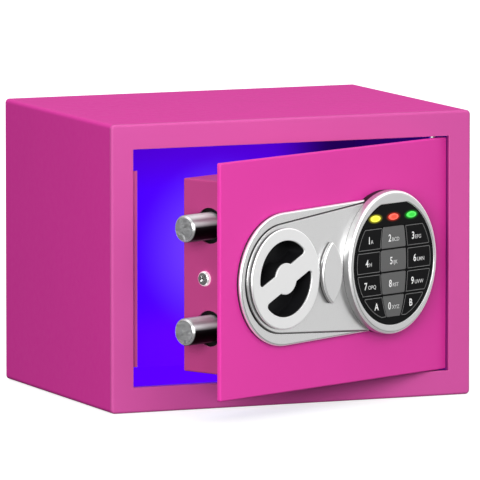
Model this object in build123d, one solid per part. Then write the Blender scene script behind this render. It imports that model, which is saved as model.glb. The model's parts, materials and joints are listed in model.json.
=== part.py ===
from build123d import *
import math
import os

# Compact electronic safe for coins and small valuables, with its door ajar.
# Row frame: X to the right, Y to the back, Z up; origin at the centre of the underside.
# Every door piece is drawn in the door's own closed frame: X and Z as in the row frame, and
# "proud" (p) measured outwards from the door's front face, so that things inside have p < 0.

# ---------------------------------------------------------------- body
WIDTH = 230.0
HEIGHT = 170.0
DEPTH = 170.0
SHEET = 1.5
CORNER_R = 2.5
FRONT_SHEET = 2.0
FRONT_EDGE_R = 1.6
OPENING_HALF_W = 101.0
OPENING_Z0 = 14.9
OPENING_Z1 = 155.1
LIP = 1.5
LIP_DEPTH = 9.0
STOP_DEPTH = 4.5
STOP_REACH = 4.5
STOP_Z0 = 26.5
STOP_Z1 = 142.0
STOP_SHEET = 2.0
STOP_LEG = 17.5
ANCHOR_R = 4.5
ANCHOR_SPACING = 110.0
BACK_ANCHOR_Z = 85.0
FLOOR_ANCHOR_Y = 20.0
MAT_T = 2.0

# ---------------------------------------------------------------- door and hinge
DOOR_AJAR = 25.0
DOOR_X0 = -99.85
DOOR_X1 = 99.7
DOOR_Z0 = 15.5
DOOR_Z1 = 154.1
DOOR_T = 2.5
DOOR_EDGE_R = 1.0
PIVOT_X = 92.1
PIVOT_DEPTH = 5.0
PIN_R = 1.9
BEARING_GAP = 0.05
BRACKET_W = 10.4
BRACKET_H = 13.0
BRACKET_DEPTH = 9.0

# ---------------------------------------------------------------- lock casing behind the door
CASE_X0 = -86.0
CASE_X1 = 84.0
CASE_Z0 = 28.7
CASE_Z1 = 141.6
CASE_REAR = -41.7
CASE_SHEET = 1.2
CASE_EDGE_R = 1.0
SIDE_SCREW_P = -24.5
SIDE_SCREW_Z = 84.2

# ---------------------------------------------------------------- bolts and their drive
BOLT_R = 8.0
BOLT_TIP_X = -107.9
BOLT_END_X = -62.0
BOLT_CHAMFER = 1.3
BOLT_P = -21.2
BOLT_HALF_PITCH = 30.0
BOLT_MID_Z = 85.2
BOLT_CLEAR_R = 10.5
BOLT_TRAVEL = 16.0
CAM_R = 14.0
CAM_PIN_R = 2.5
CAM_PIN_ORBIT = BOLT_TRAVEL / math.sqrt(2.0)
CHASSIS_WEB_P = -9.0
CHASSIS_SHEET = 1.5

# ---------------------------------------------------------------- lock panel on the door
PANEL_Z = 83.2
PANEL_R = 39.0
PANEL_END_X = -46.8
PANEL_END_Z = 82.5
PANEL_TILT = 1.3
PANEL_RIM = 3.2
PLATFORM = 4.4
PLATFORM_R = 31.8
PLATFORM_FLARE_UP = 5.1
PLATFORM_FLARE_DOWN = 4.1
PANEL_WALL = 1.8
KNOB_X = -49.8
KNOB_R = 29.6
KNOB_FACE = 6.2
KNOB_FACE_T = 1.6
KNOB_CUP_R = 24.4
KNOB_FLOOR = -6.0
POCKET_R = 22.4
HUB_R = 9.2
GRIP_W = 11.4
GRIP_TILT = 25.0
POCKET_CORNER = 2.0
HUB_CORNER = 0.8
COVER_X = -10.5
COVER_W = 17.2
COVER_H = 36.4
COVER_FACE = 7.9
BARREL_R = 6.5
PLUG_R = 4.5
PLUG_END_P = -23.8

# ---------------------------------------------------------------- keypad
PAD_X = 41.0
PAD_Z = 85.2
BEZEL_A = 39.0
BEZEL_B = 42.5
BEZEL_FACE = 10.0
PAD_BASE_TOP = 4.2
FACE_A = 35.9
FACE_B = 37.0
FACE_FLAT = 35.0
FACE_TOP = 9.3
FACE_T = 1.5
KEY_TOP = 9.75
KEY_A = 33.0
KEY_B = 34.0
MERIDIAN_IN = 11.0
MERIDIAN_OUT = 12.1
MERIDIAN_B = 37.0
ROW_PITCH = 13.6
ROW_H = 12.6
TOP_ROW_Z = 15.0
KEY_CORNER = 0.9
KEY_GAP = 0.25
KEY_FLANGE = 0.4
LED_PITCH = 16.0
LED_Z = 27.0
LED_W = 8.4
LED_H = 3.7

# ---------------------------------------------------------------- inner works
PLUNGER_X = -28.5
PLUNGER_R = 4.0
PLUNGER_TIP_Z = 102.2
SOLENOID_Z0 = 114.0
SOLENOID_Z1 = 138.0
BATTERY_R = 7.1
BATTERY_L = 50.5
BATTERY_PITCH = 15.2
BATTERY_X = 48.0
BATTERY_Z = 43.4
BATTERY_P = -29.3
WINDOW = (18.0, 78.0, 36.0, 98.0)
RESET_X = 66.0
RESET_Z = 122.0

KEY_NAMES = [
    ["1", "2", "3"],
    ["4", "5", "6"],
    ["7", "8", "9"],
    ["a", "0", "b"],
]


# ================================================================ drawing helpers
def block(x0, x1, y0, y1, z0, z1):
    """A box between two corners of the row frame."""
    centre = Pos((x0 + x1) / 2, (y0 + y1) / 2, (z0 + z1) / 2)
    return centre * Box(x1 - x0, y1 - y0, z1 - z0)


def body_block(x0, x1, d0, d1, z0, z1):
    """A box of the body, with its depth measured back from the front face."""
    return block(x0, x1, d0 - DEPTH / 2, d1 - DEPTH / 2, z0, z1)


def door_block(x0, x1, p0, p1, z0, z1):
    """A box of the door, with p0 the deeper end and p1 the prouder one."""
    return block(x0, x1, -p1, -p0, z0, z1)


def front_prism(sketch, p0, p1):
    """A front-view outline drawn out from p0 to p1."""
    return extrude(Plane.XZ.offset(p0) * sketch, p1 - p0)


def disc(x, z, r, p0, p1):
    """A round piece that stands out of the door, from p0 to p1."""
    return front_prism(Pos(x, z) * Circle(r), p0, p1)


def rod_x(x0, x1, p, z, r):
    """A round bar along X."""
    return Pos((x0 + x1) / 2, -p, z) * Rot(0, 90, 0) * Cylinder(r, x1 - x0)


def rod_z(x, p, z0, z1, r):
    """A round bar along Z."""
    return Pos(x, -p, (z0 + z1) / 2) * Cylinder(r, z1 - z0)


def edges_at_proud(shape, p):
    """The edges that lie wholly at one height above the door."""
    flat = []
    for edge in shape.edges():
        box = edge.bounding_box()
        if abs(box.min.Y + p) < 1e-3 and abs(box.max.Y + p) < 1e-3:
            flat.append(edge)
    return flat


def sharp_corners(sketch):
    """The vertices of an outline where two edges meet at an angle."""
    corners = []
    for vertex in sketch.vertices():
        point = Vector(vertex.X, vertex.Y, vertex.Z)
        ways = []
        for edge in sketch.edges():
            for end in (0, 1):
                if (edge @ end - point).length < 1e-4:
                    ways.append(edge % end)
        if len(ways) == 2 and ways[0].cross(ways[1]).length > 0.05:
            corners.append(vertex)
    return corners


def round_corners(sketch, r):
    """Every corner of an outline rounded to r."""
    return fillet(sharp_corners(sketch), r)


def hang(shape):
    """Move a door piece from the closed frame to its place on the ajar door."""
    pivot = Pos(PIVOT_X, PIVOT_DEPTH - DEPTH / 2, 0)
    closed = Pos(0, -DEPTH / 2, 0) * shape
    return pivot * Rot(0, 0, DOOR_AJAR) * pivot.inverse() * closed


# ================================================================ body pieces
def make_body_wrap():
    """Bent steel tube: top, bottom and both sides, with anchor holes in the bottom."""
    outer = RectangleRounded(WIDTH, HEIGHT, CORNER_R)
    inner = RectangleRounded(WIDTH - 2 * SHEET, HEIGHT - 2 * SHEET, CORNER_R - SHEET)
    length = DEPTH - FRONT_SHEET
    tube = front_prism(Pos(0, HEIGHT / 2) * (outer - inner), -length, 0)
    tube = Pos(0, FRONT_SHEET - DEPTH / 2, 0) * tube
    for side in (-1, 1):
        tube -= Pos(side * ANCHOR_SPACING / 2, FLOOR_ANCHOR_Y, SHEET / 2) * Cylinder(ANCHOR_R, 2 * SHEET)
    return tube


def make_front_frame():
    """Front face with the door opening and its return lips, drilled for the hinge pins."""
    outline = Pos(0, HEIGHT / 2) * RectangleRounded(WIDTH, HEIGHT, CORNER_R)
    face = front_prism(outline, -FRONT_SHEET, 0)
    face = fillet(edges_at_proud(face, 0), FRONT_EDGE_R)
    face = Pos(0, -DEPTH / 2, 0) * face
    w = OPENING_HALF_W
    face -= body_block(-w, w, -1, FRONT_SHEET + 1, OPENING_Z0, OPENING_Z1)
    inner_edges = []
    for edge in face.edges():
        box = edge.bounding_box()
        at_front = abs(box.min.Y + DEPTH / 2) < 1e-3 and abs(box.max.Y + DEPTH / 2) < 1e-3
        if at_front and abs(box.min.X) < w + 1 and abs(box.max.X) < w + 1:
            if OPENING_Z0 - 1 < box.min.Z and box.max.Z < OPENING_Z1 + 1:
                inner_edges.append(edge)
    face = fillet(inner_edges, 0.4)
    lips = body_block(-w - LIP, w + LIP, FRONT_SHEET, LIP_DEPTH, OPENING_Z1, OPENING_Z1 + LIP)
    lips += body_block(-w - LIP, w + LIP, FRONT_SHEET, LIP_DEPTH, OPENING_Z0 - LIP, OPENING_Z0)
    lips += body_block(w, w + LIP, FRONT_SHEET, LIP_DEPTH, OPENING_Z0, OPENING_Z1)
    lips += body_block(-w - LIP, -w, FRONT_SHEET, STOP_DEPTH, OPENING_Z0, OPENING_Z1)
    lips -= body_block(-w - LIP - 1, -w, STOP_DEPTH, LIP_DEPTH + 1, STOP_Z0 - 14, STOP_Z1 + 16)
    frame = face + lips
    for z in (OPENING_Z0 - LIP / 2, OPENING_Z1 + LIP / 2):
        frame -= Pos(PIVOT_X, PIVOT_DEPTH - DEPTH / 2, z) * Cylinder(PIN_R, 2 * LIP)
    return frame


def make_back_panel():
    """Flat back set inside the wrap, with the two wall anchor holes."""
    half = WIDTH / 2 - SHEET
    panel = body_block(-half, half, DEPTH - 0.3 - SHEET, DEPTH - 0.3, SHEET, HEIGHT - SHEET)
    uprights = panel.edges().filter_by(Axis.Y)
    panel = fillet(uprights, CORNER_R - SHEET)
    for side in (-1, 1):
        hole = Pos(side * ANCHOR_SPACING / 2, DEPTH / 2, BACK_ANCHOR_Z) * Rot(90, 0, 0)
        panel -= hole * Cylinder(ANCHOR_R, 6 * SHEET)
    return panel


def make_keeper_strip():
    """Angle behind the left jamb: the door's stop, and what the bolts catch behind."""
    inner = -(WIDTH / 2 - SHEET)
    bar_end = -(OPENING_HALF_W - STOP_REACH)
    bar = body_block(inner, bar_end, STOP_DEPTH, STOP_DEPTH + STOP_SHEET, STOP_Z0, STOP_Z1)
    nose = bar.edges().filter_by(Axis.Z).sort_by(Axis.X)[-2:]
    bar = fillet(nose, 0.8)
    leg = body_block(inner, inner + LIP, STOP_DEPTH, STOP_DEPTH + STOP_LEG, STOP_Z0, STOP_Z1)
    return bar + leg


def make_hinge_pins():
    """Upper and lower pin, pressed into the frame's lips."""
    pins = []
    for z0, z1 in ((OPENING_Z0 - LIP - 1.2, DOOR_Z0 + 9), (DOOR_Z1 - 9, OPENING_Z1 + LIP + 1.2)):
        pin = Pos(PIVOT_X, PIVOT_DEPTH - DEPTH / 2, (z0 + z1) / 2) * Cylinder(PIN_R, z1 - z0)
        pins.append(pin)
    return Compound(children=pins)


def make_floor_mat():
    """Felt mat on the safe's floor, open over the anchor holes."""
    half = WIDTH / 2 - SHEET - 1.5
    mat = body_block(-half, half, 12, DEPTH - 3, SHEET, SHEET + MAT_T)
    mat = fillet(mat.edges().filter_by(Axis.Z), 4)
    for side in (-1, 1):
        spot = Pos(side * ANCHOR_SPACING / 2, FLOOR_ANCHOR_Y, SHEET)
        mat -= spot * Cylinder(ANCHOR_R + 2, 4 * MAT_T)
    return mat


# ================================================================ door structure
def make_door_plate():
    """Flat door leaf with the openings for the knob, the lock barrel and the keypad lead."""
    leaf = door_block(DOOR_X0, DOOR_X1, -DOOR_T, 0, DOOR_Z0, DOOR_Z1)
    leaf = fillet(leaf.edges().filter_by(Axis.Y), 1.2)
    leaf = fillet(edges_at_proud(leaf, 0), DOOR_EDGE_R)
    leaf -= disc(KNOB_X, PANEL_Z, KNOB_CUP_R + 0.4, -2 * DOOR_T, DOOR_T)
    leaf -= disc(COVER_X, PANEL_Z, BARREL_R + 0.1, -2 * DOOR_T, DOOR_T)
    leaf -= door_block(PAD_X - 10, PAD_X + 10, -2 * DOOR_T, DOOR_T, PAD_Z - 3, PAD_Z + 3)
    for x, z in stud_places():
        leaf -= disc(x, z, 2.2, -2 * DOOR_T, DOOR_T)
    return leaf


def stud_places():
    """Where the panel's four threaded studs pass through the door."""
    places = []
    for x, z in ((-68.0, 26.0), (-6.0, 31.0)):
        places.append((x, PANEL_Z + z))
        places.append((x, PANEL_Z - z))
    return places


def make_hinge_brackets():
    """Blocks welded behind the door's hinge edge, bored for the pins."""
    x0 = PIVOT_X - BRACKET_W / 2
    x1 = PIVOT_X + BRACKET_W / 2
    lugs = []
    for z0 in (DOOR_Z0 + 1, DOOR_Z1 - 1 - BRACKET_H):
        lug = door_block(x0, x1, -BRACKET_DEPTH, -DOOR_T, z0, z0 + BRACKET_H)
        rear = lug.edges().filter_by(Axis.Z).sort_by(Axis.Y)[-2:]
        lug = fillet(rear, 2.4)
        lugs.append(lug - rod_z(PIVOT_X, -PIVOT_DEPTH, z0 - 1, z0 + BRACKET_H + 1, PIN_R + BEARING_GAP))
    return Compound(children=lugs)


def make_lock_casing():
    """Deep tray over the lock works: bolt holes, battery window, reset hole, side screws."""
    tray = door_block(CASE_X0, CASE_X1, CASE_REAR, -DOOR_T, CASE_Z0, CASE_Z1)
    tray = fillet(tray.edges().filter_by(Axis.Y), CASE_EDGE_R)
    tray = fillet(edges_at_proud(tray, CASE_REAR), CASE_EDGE_R)
    t = CASE_SHEET
    tray -= door_block(CASE_X0 + t, CASE_X1 - t, CASE_REAR + t, 0, CASE_Z0 + t, CASE_Z1 - t)
    for z in bolt_heights():
        tray -= rod_x(CASE_X0 - 2, CASE_X0 + 4, BOLT_P, z, BOLT_CLEAR_R)
    for x in (CASE_X0, CASE_X1):
        tray -= rod_x(x - 3, x + 3, SIDE_SCREW_P, SIDE_SCREW_Z, 2.2)
    x0, x1, z0, z1 = WINDOW
    tray -= door_block(x0, x1, CASE_REAR - 1, CASE_REAR + 4, z0, z1)
    tray -= disc(RESET_X, RESET_Z, 3.6, CASE_REAR - 1, CASE_REAR + 4)
    return tray


def bolt_heights():
    """Heights of the two bolts."""
    return (BOLT_MID_Z + BOLT_HALF_PITCH, BOLT_MID_Z - BOLT_HALF_PITCH)


def make_casing_screws():
    """Pan-head screw in each side of the casing, with a cross recess."""
    screws = []
    for x, way in ((CASE_X0, -1), (CASE_X1, 1)):
        head = rod_x(min(x, x + way * 2.3), max(x, x + way * 2.3), SIDE_SCREW_P, SIDE_SCREW_Z, 4.4)
        rim = head.edges().filter_by(GeomType.CIRCLE).sort_by(Axis.X)
        head = fillet(rim[0] if way < 0 else rim[-1], 1.5)
        for spin in (0, 90):
            slot = Pos(x + way * 2.0, -SIDE_SCREW_P, SIDE_SCREW_Z) * Rot(spin + 45, 0, 0) * Box(2.2, 1.1, 4.6)
            head -= slot
        shank = rod_x(min(x, x - way * 4.5), max(x, x - way * 4.5), SIDE_SCREW_P, SIDE_SCREW_Z, 2.0)
        screws.append(head + shank)
    return Compound(children=screws)


def make_casing_tab():
    """Angle on the hinge side that takes the casing's right-hand screw."""
    foot = door_block(CASE_X1 - 12, CASE_X1 - 1.8, -DOOR_T - 1.5, -DOOR_T, SIDE_SCREW_Z - 8, SIDE_SCREW_Z + 8)
    arm = door_block(CASE_X1 - 3.3, CASE_X1 - 1.8, SIDE_SCREW_P - 6, -DOOR_T, SIDE_SCREW_Z - 8, SIDE_SCREW_Z + 8)
    arm -= rod_x(CASE_X1 - 5, CASE_X1, SIDE_SCREW_P, SIDE_SCREW_Z, 2.0)
    return foot + arm


def make_bolt_chassis():
    """Steel channel welded to the door: bolt guides and the knob shaft's bearing."""
    x0 = CASE_X0 + CASE_SHEET + 0.5
    x1 = -20.0
    z0, z1 = 36.0, 134.0
    web_p = CHASSIS_WEB_P
    chassis = door_block(x0, x1, web_p - CHASSIS_SHEET, web_p, z0, z1)
    chassis += door_block(x0, x0 + 2, -36, -DOOR_T, z0, z1)
    chassis += door_block(x1 - 2, x1, web_p, -DOOR_T, z0, z1)
    for z in bolt_heights():
        chassis += door_block(-68, -66, -31, web_p, z - 12.2, z + 12.2)
        chassis -= rod_x(x0 - 1, -64, BOLT_P, z, BOLT_R + BEARING_GAP)
    chassis -= disc(KNOB_X, PANEL_Z, 4.0 + BEARING_GAP, -20, 0)
    chassis -= rod_x(x0 - 1, x0 + 3, SIDE_SCREW_P, SIDE_SCREW_Z, 2.0)
    return chassis


# ================================================================ bolts and drive
def make_bolt(z):
    """Round chromed bolt with a chamfered nose."""
    bolt = rod_x(BOLT_TIP_X, BOLT_END_X, BOLT_P, z, BOLT_R)
    nose = bolt.edges().filter_by(GeomType.CIRCLE).sort_by(Axis.X)[0]
    bolt = chamfer(nose, BOLT_CHAMFER)
    bolt -= rod_x(BOLT_END_X - 8, BOLT_END_X + 1, BOLT_P, z, 2.0)
    return bolt


def make_bolt_carriage():
    """Plate that ties both bolts together, slotted for the cam's drive pin."""
    upper, lower = bolt_heights()
    x0 = BOLT_END_X
    plate = door_block(x0, x0 + 10, BOLT_P - 1.25, BOLT_P + 1.25, lower - 9, upper + 9)
    plate += door_block(x0, x0 + 24, BOLT_P - 1.25, BOLT_P + 1.25, 76, 104)
    for z in (upper, lower):
        plate += door_block(x0, x0 + 2, BOLT_P - 9, BOLT_P + 9, z - 9, z + 9)
        plate -= rod_x(x0 - 1, x0 + 4, BOLT_P, z, 2.0)
        plate -= rod_x(x0 + 2, x0 + 12, BOLT_P, z, 4.0)
    slot_x = KNOB_X - BOLT_TRAVEL / 2
    slot_w = CAM_PIN_R + 0.6
    low = PANEL_Z + BOLT_TRAVEL / 2 - CAM_PIN_R - 1
    high = PANEL_Z + CAM_PIN_ORBIT + CAM_PIN_R + 1
    plate -= door_block(slot_x - slot_w, slot_x + slot_w, BOLT_P - 4, BOLT_P + 4, low, high)
    return plate


def make_bolt_screws():
    """Screw that holds each bolt to the carriage."""
    screws = []
    for z in bolt_heights():
        shank = rod_x(BOLT_END_X - 7, BOLT_END_X + 2, BOLT_P, z, 2.0)
        head = rod_x(BOLT_END_X + 2, BOLT_END_X + 4.4, BOLT_P, z, 3.6)
        rim = head.edges().filter_by(GeomType.CIRCLE).sort_by(Axis.X)[-1]
        screws.append(fillet(rim, 1.0) + shank)
    return Compound(children=screws)


def pocket_outline(grow):
    """The two finger pockets: a ring sector each side of the grip bar and its hub."""
    ring = Circle(POCKET_R) - Circle(HUB_R)
    ring -= Rot(0, 0, GRIP_TILT) * Rectangle(4 * POCKET_R, GRIP_W)
    ring = fillet([v for v in sharp_corners(ring) if math.hypot(v.X, v.Y) > 15], POCKET_CORNER)
    ring = fillet([v for v in sharp_corners(ring) if math.hypot(v.X, v.Y) < 15], HUB_CORNER)
    if grow:
        ring = offset(ring, amount=grow)
    return Pos(KNOB_X, PANEL_Z) * ring


def make_knob_face():
    """Satin ring, grip bar and hub in one disc."""
    face = disc(KNOB_X, PANEL_Z, KNOB_R, KNOB_FACE - KNOB_FACE_T, KNOB_FACE)
    face = fillet(edges_at_proud(face, KNOB_FACE), 0.8)
    face -= front_prism(pocket_outline(0), 0, KNOB_FACE + 1)
    rims = []
    for edge in edges_at_proud(face, KNOB_FACE):
        box = edge.bounding_box()
        reach = max(abs(box.min.X - KNOB_X), abs(box.max.X - KNOB_X))
        if reach < POCKET_R + 1 and box.max.Z - PANEL_Z < POCKET_R + 1:
            rims.append(edge)
    return fillet(rims, 0.35)


def make_knob_cup():
    """Black moulding behind the face: the deep finger pockets and the shaft's socket."""
    back = KNOB_FLOOR - 1.3
    cup = disc(KNOB_X, PANEL_Z, KNOB_CUP_R, back, KNOB_FACE - KNOB_FACE_T)
    cup -= front_prism(pocket_outline(0.25), KNOB_FLOOR, KNOB_FACE)
    cup -= disc(KNOB_X, PANEL_Z, 4.0, back - 1, back + 6)
    return cup


def make_knob_shaft():
    """Shaft from the knob through the chassis to the cam, with a retaining collar."""
    shaft = disc(KNOB_X, PANEL_Z, 4.0, -16.5, KNOB_FLOOR + 4.7)
    shaft += disc(KNOB_X, PANEL_Z, 6.5, -12.2, -10.8)
    return shaft


def make_knob_cam():
    """Cam disc on the shaft, with the drive pin that moves the bolt carriage."""
    cam = disc(KNOB_X, PANEL_Z, CAM_R, -16.5, -13.5)
    cam -= disc(KNOB_X, PANEL_Z, 4.0, -18, -12)
    pin_x = KNOB_X - BOLT_TRAVEL / 2
    pin_z = PANEL_Z + BOLT_TRAVEL / 2
    cam += disc(pin_x, pin_z, CAM_PIN_R, -23, -15)
    return cam


# ================================================================ lock panel
def panel_outline():
    """Long plate with a round left end, rising a little as it runs in under the keypad."""
    straight = PAD_X - PANEL_END_X
    plate = Circle(PANEL_R) + Pos(straight / 2, 0) * Rectangle(straight, 2 * PANEL_R)
    return Pos(PANEL_END_X, PANEL_END_Z) * Rot(0, 0, PANEL_TILT) * plate


def platform_outline(shrink):
    """Raised field: an arc round the knob, with edges that open out towards the keypad."""
    r = PLATFORM_R - shrink
    edges = []
    for way, flare in ((1, PLATFORM_FLARE_UP), (-1, PLATFORM_FLARE_DOWN)):
        tilt = math.radians(flare)
        x = KNOB_X - r * math.sin(tilt)
        near = r * math.cos(tilt)
        far = near + (PAD_X - x) * math.tan(tilt)
        edges.append([(x, PANEL_Z + way * near), (PAD_X, PANEL_Z + way * far)])
    upper, lower = edges
    wedge = make_face(Polyline(*upper, lower[1], lower[0], close=True))
    return wedge + Pos(KNOB_X, PANEL_Z) * Circle(r)


def keypad_well(a, b):
    """Ellipse centred on the keypad."""
    return Pos(PAD_X, PAD_Z) * Ellipse(a, b)


def make_panel_housing():
    """Silver moulding: rounded rim, raised field with a fine groove round it, studs behind."""
    shell = front_prism(panel_outline(), 0, PANEL_RIM)
    shell = fillet(edges_at_proud(shell, PANEL_RIM), 1.3)
    groove = platform_outline(-0.7) - platform_outline(0)
    shell -= front_prism(groove, PANEL_RIM - 0.4, PANEL_RIM + 1)
    field = front_prism(platform_outline(0), PANEL_RIM - 0.4, PLATFORM)
    field = fillet(edges_at_proud(field, PLATFORM), 0.6)
    shell += field
    shell -= front_prism(offset(panel_outline(), amount=-PANEL_WALL), -1, PANEL_RIM - 1.4)
    for x, z in stud_places():
        shell += disc(x, z, 3.2, 0, PANEL_RIM - 0.8)
        shell += disc(x, z, 1.5, -6.5, 1)
    shell -= disc(KNOB_X, PANEL_Z, KNOB_CUP_R + 0.4, -1, PLATFORM + 1)
    shell -= disc(COVER_X, PANEL_Z, BARREL_R + 0.1, -1, PLATFORM + 1)
    shell -= front_prism(keypad_well(BEZEL_A + 0.1, BEZEL_B + 0.1), -1, PLATFORM + 1)
    return shell


def make_panel_nuts():
    """Nut on each of the panel's studs, behind the door."""
    nuts = []
    for x, z in stud_places():
        nut = front_prism(Pos(x, z) * RegularPolygon(3.2, 6), -DOOR_T - 2.4, -DOOR_T)
        nut -= disc(x, z, 1.5, -10, 0)
        nuts.append(nut)
    return Compound(children=nuts)


# ================================================================ emergency lock
def lens_outline(width, height):
    """Pointed oval: two equal arcs that meet at top and bottom."""
    half_w = width / 2
    half_h = height / 2
    radius = (half_w**2 + half_h**2) / width
    shift = radius - half_w
    lens = Pos(-shift, 0) * Circle(radius) & Pos(shift, 0) * Circle(radius)
    return Pos(COVER_X, PANEL_Z) * round_corners(lens, 0.8)


def make_key_cover():
    """Push-on cap, hollow behind, that hides the emergency lock."""
    cap = front_prism(lens_outline(COVER_W, COVER_H), PLATFORM + 0.1, COVER_FACE)
    cap = fillet(edges_at_proud(cap, COVER_FACE), 0.9)
    cap -= front_prism(lens_outline(COVER_W - 2.4, COVER_H - 5.0), PLATFORM - 1, COVER_FACE - 1.3)
    return cap


def make_emergency_barrel():
    """Fixed barrel of the emergency lock, screwed in through the door."""
    barrel = disc(COVER_X, PANEL_Z, BARREL_R, -21, 5.6)
    barrel -= disc(COVER_X, PANEL_Z, PLUG_R + BEARING_GAP, -22, 6)
    return barrel


def make_barrel_nut():
    """Ring nut that clamps the barrel to the door."""
    ring = front_prism(Pos(COVER_X, PANEL_Z) * RegularPolygon(9.5, 6), -DOOR_T - 3.0, -DOOR_T)
    ring -= disc(COVER_X, PANEL_Z, BARREL_R, -10, 0)
    return ring


def make_emergency_plug():
    """Turning plug with its keyway."""
    plug = disc(COVER_X, PANEL_Z, PLUG_R, PLUG_END_P, 5.4)
    plug -= Pos(COVER_X, -5.4, PANEL_Z) * Box(1.4, 12, 6.4)
    return plug


def make_emergency_cam():
    """Flat tail on the plug that trips the lock from inside."""
    rear = PLUG_END_P - 2
    tail = disc(COVER_X, PANEL_Z, 5.0, rear, PLUG_END_P)
    tail += door_block(COVER_X - 3, COVER_X + 3, rear, PLUG_END_P, PANEL_Z - 16, PANEL_Z)
    return fillet(tail.edges().filter_by(Axis.Y).sort_by(Axis.Z)[:2], 2.5)


# ================================================================ keypad
def face_outline(shrink):
    """Oval keypad face with a flat top edge."""
    oval = Ellipse(FACE_A - shrink, FACE_B - shrink)
    top = FACE_FLAT - shrink
    band = Pos(0, top - FACE_B) * Rectangle(4 * FACE_A, 2 * FACE_B)
    return Pos(PAD_X, PAD_Z) * round_corners(oval & band, 1.2)


def key_outline(row, column, grow):
    """One key: a row band cut by the keypad's oval meridians."""
    z = TOP_ROW_Z - row * ROW_PITCH
    band = Pos(0, z) * Rectangle(4 * KEY_A, ROW_H + 2 * grow)
    if column == 1:
        shape = band & Ellipse(MERIDIAN_IN + grow, MERIDIAN_B)
    else:
        side = -1 if column == 0 else 1
        half = Pos(side * KEY_A, 0) * Rectangle(2 * KEY_A, 4 * KEY_B)
        outer = Ellipse(KEY_A + grow, KEY_B + grow)
        inner = Ellipse(MERIDIAN_OUT - grow, MERIDIAN_B)
        shape = band & half & (outer - inner)
    return Pos(PAD_X, PAD_Z) * round_corners(shape, KEY_CORNER + grow)


def led_outline(place, grow):
    """Flat oval indicator window; place is -1, 0 or 1."""
    oval = Ellipse(LED_W / 2 + grow, LED_H / 2 + grow)
    return Pos(PAD_X + place * LED_PITCH, PAD_Z + LED_Z) * oval


def make_keypad_base():
    """Black tub under the bezel that holds the keypad board."""
    tub = front_prism(keypad_well(BEZEL_A - 0.3, BEZEL_B - 0.3), 0, PAD_BASE_TOP)
    tub -= front_prism(keypad_well(FACE_A - 0.6, FACE_B - 0.6), 1.0, PAD_BASE_TOP + 1)
    tub -= door_block(PAD_X - 9, PAD_X + 9, -1, 2, PAD_Z - 2.5, PAD_Z + 2.5)
    return tub


def make_keypad_bezel():
    """Silver oval ring with a rounded shoulder and a flat-topped opening."""
    ring = front_prism(keypad_well(BEZEL_A, BEZEL_B), PAD_BASE_TOP, BEZEL_FACE)
    ring = fillet(edges_at_proud(ring, BEZEL_FACE), 2.2)
    ring -= front_prism(face_outline(0), PAD_BASE_TOP - 1, BEZEL_FACE + 1)
    inner = [edge for edge in edges_at_proud(ring, BEZEL_FACE) if within_face(edge)]
    return fillet(inner, 0.4)


def within_face(edge):
    """True for an edge on the keypad's opening, not on the bezel's outside."""
    box = edge.bounding_box()
    return box.max.X - box.min.X < 2 * FACE_A + 0.2 and box.max.Z <= PAD_Z + FACE_FLAT + 0.2


def make_keypad_face():
    """Black plate with key and indicator windows."""
    plate = front_prism(face_outline(0.05), FACE_TOP - FACE_T, FACE_TOP)
    for row in range(4):
        for column in range(3):
            plate -= front_prism(key_outline(row, column, KEY_GAP), 0, FACE_TOP + 1)
    for place in (-1, 0, 1):
        plate -= front_prism(led_outline(place, 0.05), 0, FACE_TOP + 1)
    return plate


def make_key(row, column):
    """Key cap with a captive flange below the face."""
    shoulder = FACE_TOP - FACE_T - 0.05
    cap = front_prism(key_outline(row, column, 0), shoulder, KEY_TOP)
    cap = fillet(edges_at_proud(cap, KEY_TOP), 0.25)
    flange = front_prism(key_outline(row, column, KEY_FLANGE), shoulder - 1.2, shoulder)
    return cap + flange


def make_led(place):
    """Domed indicator lens."""
    lens = front_prism(led_outline(place, 0), 6.0, FACE_TOP + 0.5)
    return fillet(edges_at_proud(lens, FACE_TOP + 0.5), 0.4)


def make_key_mat():
    """Silicone sheet with a low dome under each key."""
    mat = front_prism(keypad_well(FACE_A - 1.2, FACE_B - 1.2), 3.2, 4.2)
    for row in range(4):
        for column in range(3):
            spot = key_outline(row, column, 0).center()
            mat += disc(spot.X, spot.Y, 3.0, 4.0, 5.2)
    return mat


def make_keypad_board():
    """Keypad circuit board."""
    return front_prism(keypad_well(FACE_A - 1.2, FACE_B - 1.2), 1.6, 3.2)


# ================================================================ electrics behind the door
def make_control_board():
    """Main circuit board with its larger components."""
    board = door_block(0, 80, -8.6, -7.0, 34, 137)
    board += door_block(8, 24, -11.0, -8.6, 104, 114)
    board += door_block(34, 40, -14.0, -8.6, 120, 132)
    board += door_block(46, 54, -12.0, -8.6, 106, 112)
    return board


def board_screw_places():
    """Four corners of the control board."""
    return [(4, 38), (76, 38), (4, 133), (76, 133)]


def make_board_spacers():
    """Nylon spacers between the door and the control board."""
    posts = []
    for x, z in board_screw_places():
        posts.append(disc(x, z, 2.8, -7.0, -DOOR_T))
    return Compound(children=posts)


def make_board_lead():
    """Flat lead straight through the door, from the keypad board to the control board."""
    return door_block(PAD_X - 8, PAD_X + 8, -7.0, 1.6, PAD_Z - 1, PAD_Z + 1)


def make_buzzer():
    """Round buzzer on the control board."""
    drum = disc(64, 122, 6.0, -14.6, -8.6)
    drum -= disc(64, 122, 1.0, -15, -13)
    return drum


def battery_heights():
    """Heights of the four cells."""
    return [BATTERY_Z + i * BATTERY_PITCH for i in range(4)]


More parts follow.
